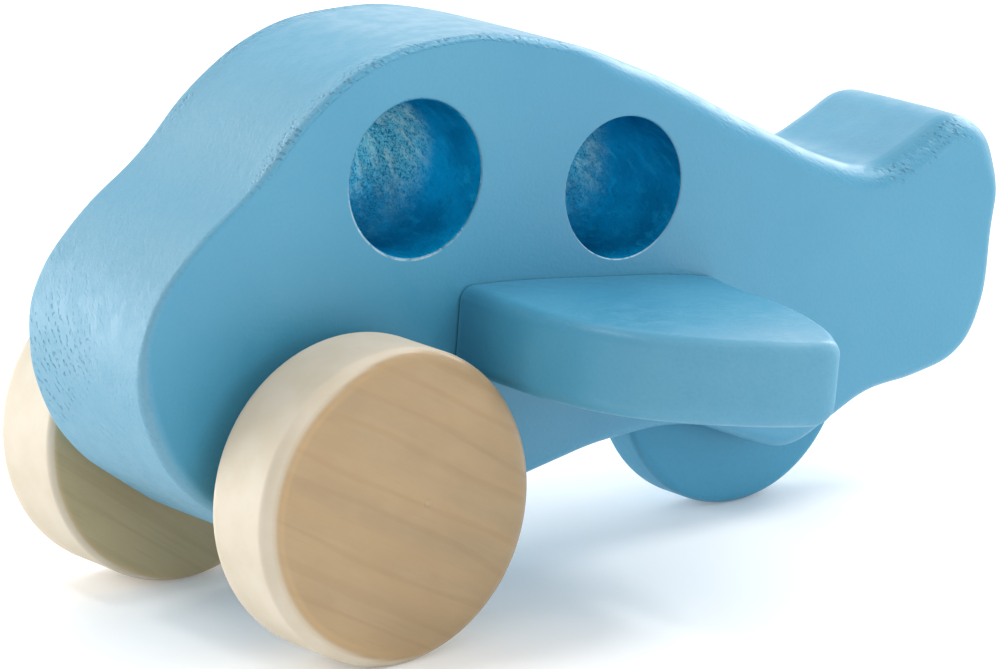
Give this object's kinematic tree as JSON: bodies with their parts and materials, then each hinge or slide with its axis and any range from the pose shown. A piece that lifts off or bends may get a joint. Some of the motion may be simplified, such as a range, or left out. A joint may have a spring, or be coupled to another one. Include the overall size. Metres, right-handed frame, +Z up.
{
  "type": "wooden toy airplane",
  "caption": "Chunky wooden toy airplane: slab fuselage with round windows, plank wings, plain front wheels on a turning axle and a slotted-in tail wheel.",
  "frame": {"origin": "on the floor, under the middle of the toy's overall box", "axes": "+X towards the nose, +Y to the toy's left (port), +Z up"},
  "size_m": [0.1368, 0.1128, 0.0725],
  "materials": {
    "blue_paint": "satin light-blue paint over wood",
    "bare_wood": "bare sanded maple with a thin clear oil",
    "dowel_wood": "bare birch dowel"
  },
  "bodies": {
    "airframe": {"fuselage": "blue_paint", "wing_port": "blue_paint", "wing_starboard": "blue_paint", "wing_dowel_front": "dowel_wood", "wing_dowel_rear": "dowel_wood", "rear_axle": "dowel_wood", "rear_axle_plug": "blue_paint"},
    "front_wheelset": {"front_axle": "dowel_wood", "front_wheel_port": "bare_wood", "front_wheel_starboard": "bare_wood"},
    "tail_wheel": {"rear_wheel": "blue_paint"}
  },
  "joints": [
    {"name": "front_wheels_spin", "type": "hinge", "parent": "airframe", "child": "front_wheelset", "pos_m": [0.043, 0, 0.02], "axis": [0, 1, 0], "continuous": true},
    {"name": "rear_wheel_spin", "type": "hinge", "parent": "airframe", "child": "tail_wheel", "pos_m": [-0.0305, 0, 0.0185], "axis": [0, 1, 0], "continuous": true}
  ]
}
